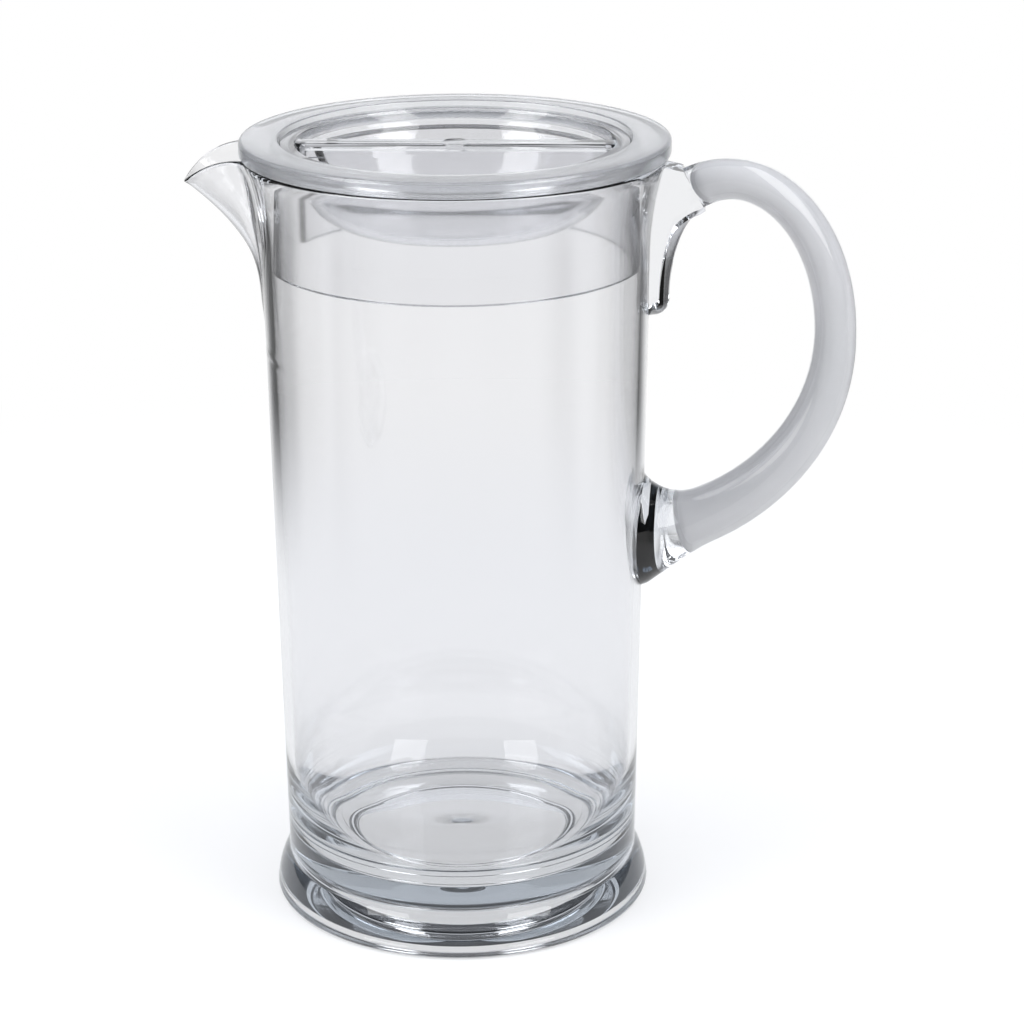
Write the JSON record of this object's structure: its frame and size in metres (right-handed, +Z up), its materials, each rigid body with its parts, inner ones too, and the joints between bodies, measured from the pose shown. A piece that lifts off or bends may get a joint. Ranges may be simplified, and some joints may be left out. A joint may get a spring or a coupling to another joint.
{
  "type": "plastic pitcher with lid",
  "caption": "Clear plastic pitcher with a spout, a loop handle and a lid: a bar across the sunk bowl turns the lid's skirt to open or close the spout.",
  "frame": {"origin": "on the jug's axis, in the plane that the foot stands on", "axes": "+Z up along the jug's axis, +X towards the handle, -X towards the spout"},
  "size_m": [0.2082, 0.1326, 0.25],
  "materials": {
    "jug_plastic": "clear, polished",
    "handle_plastic": "clear, polished",
    "lid_plastic": "clear, polished"
  },
  "bodies": {
    "jug": {"jug_body": "jug_plastic", "foot_ring": "jug_plastic", "handle_lower_mount": "handle_plastic", "handle_upper_mount": "handle_plastic", "handle_grip": "handle_plastic"},
    "lid_flange": {"lid_ring": "lid_plastic"},
    "lid_centre": {"lid_dial": "lid_plastic", "lid_skirt": "lid_plastic"}
  },
  "joints": [
    {"name": "lid_lift", "type": "slide", "parent": "jug", "child": "lid_flange", "axis": [0, 0, 1], "range_m": [0, 0.06]},
    {"name": "dial_turn", "type": "hinge", "parent": "lid_flange", "child": "lid_centre", "pos_m": [0, 0, 0.2484], "axis": [0, 0, 1], "continuous": true}
  ]
}
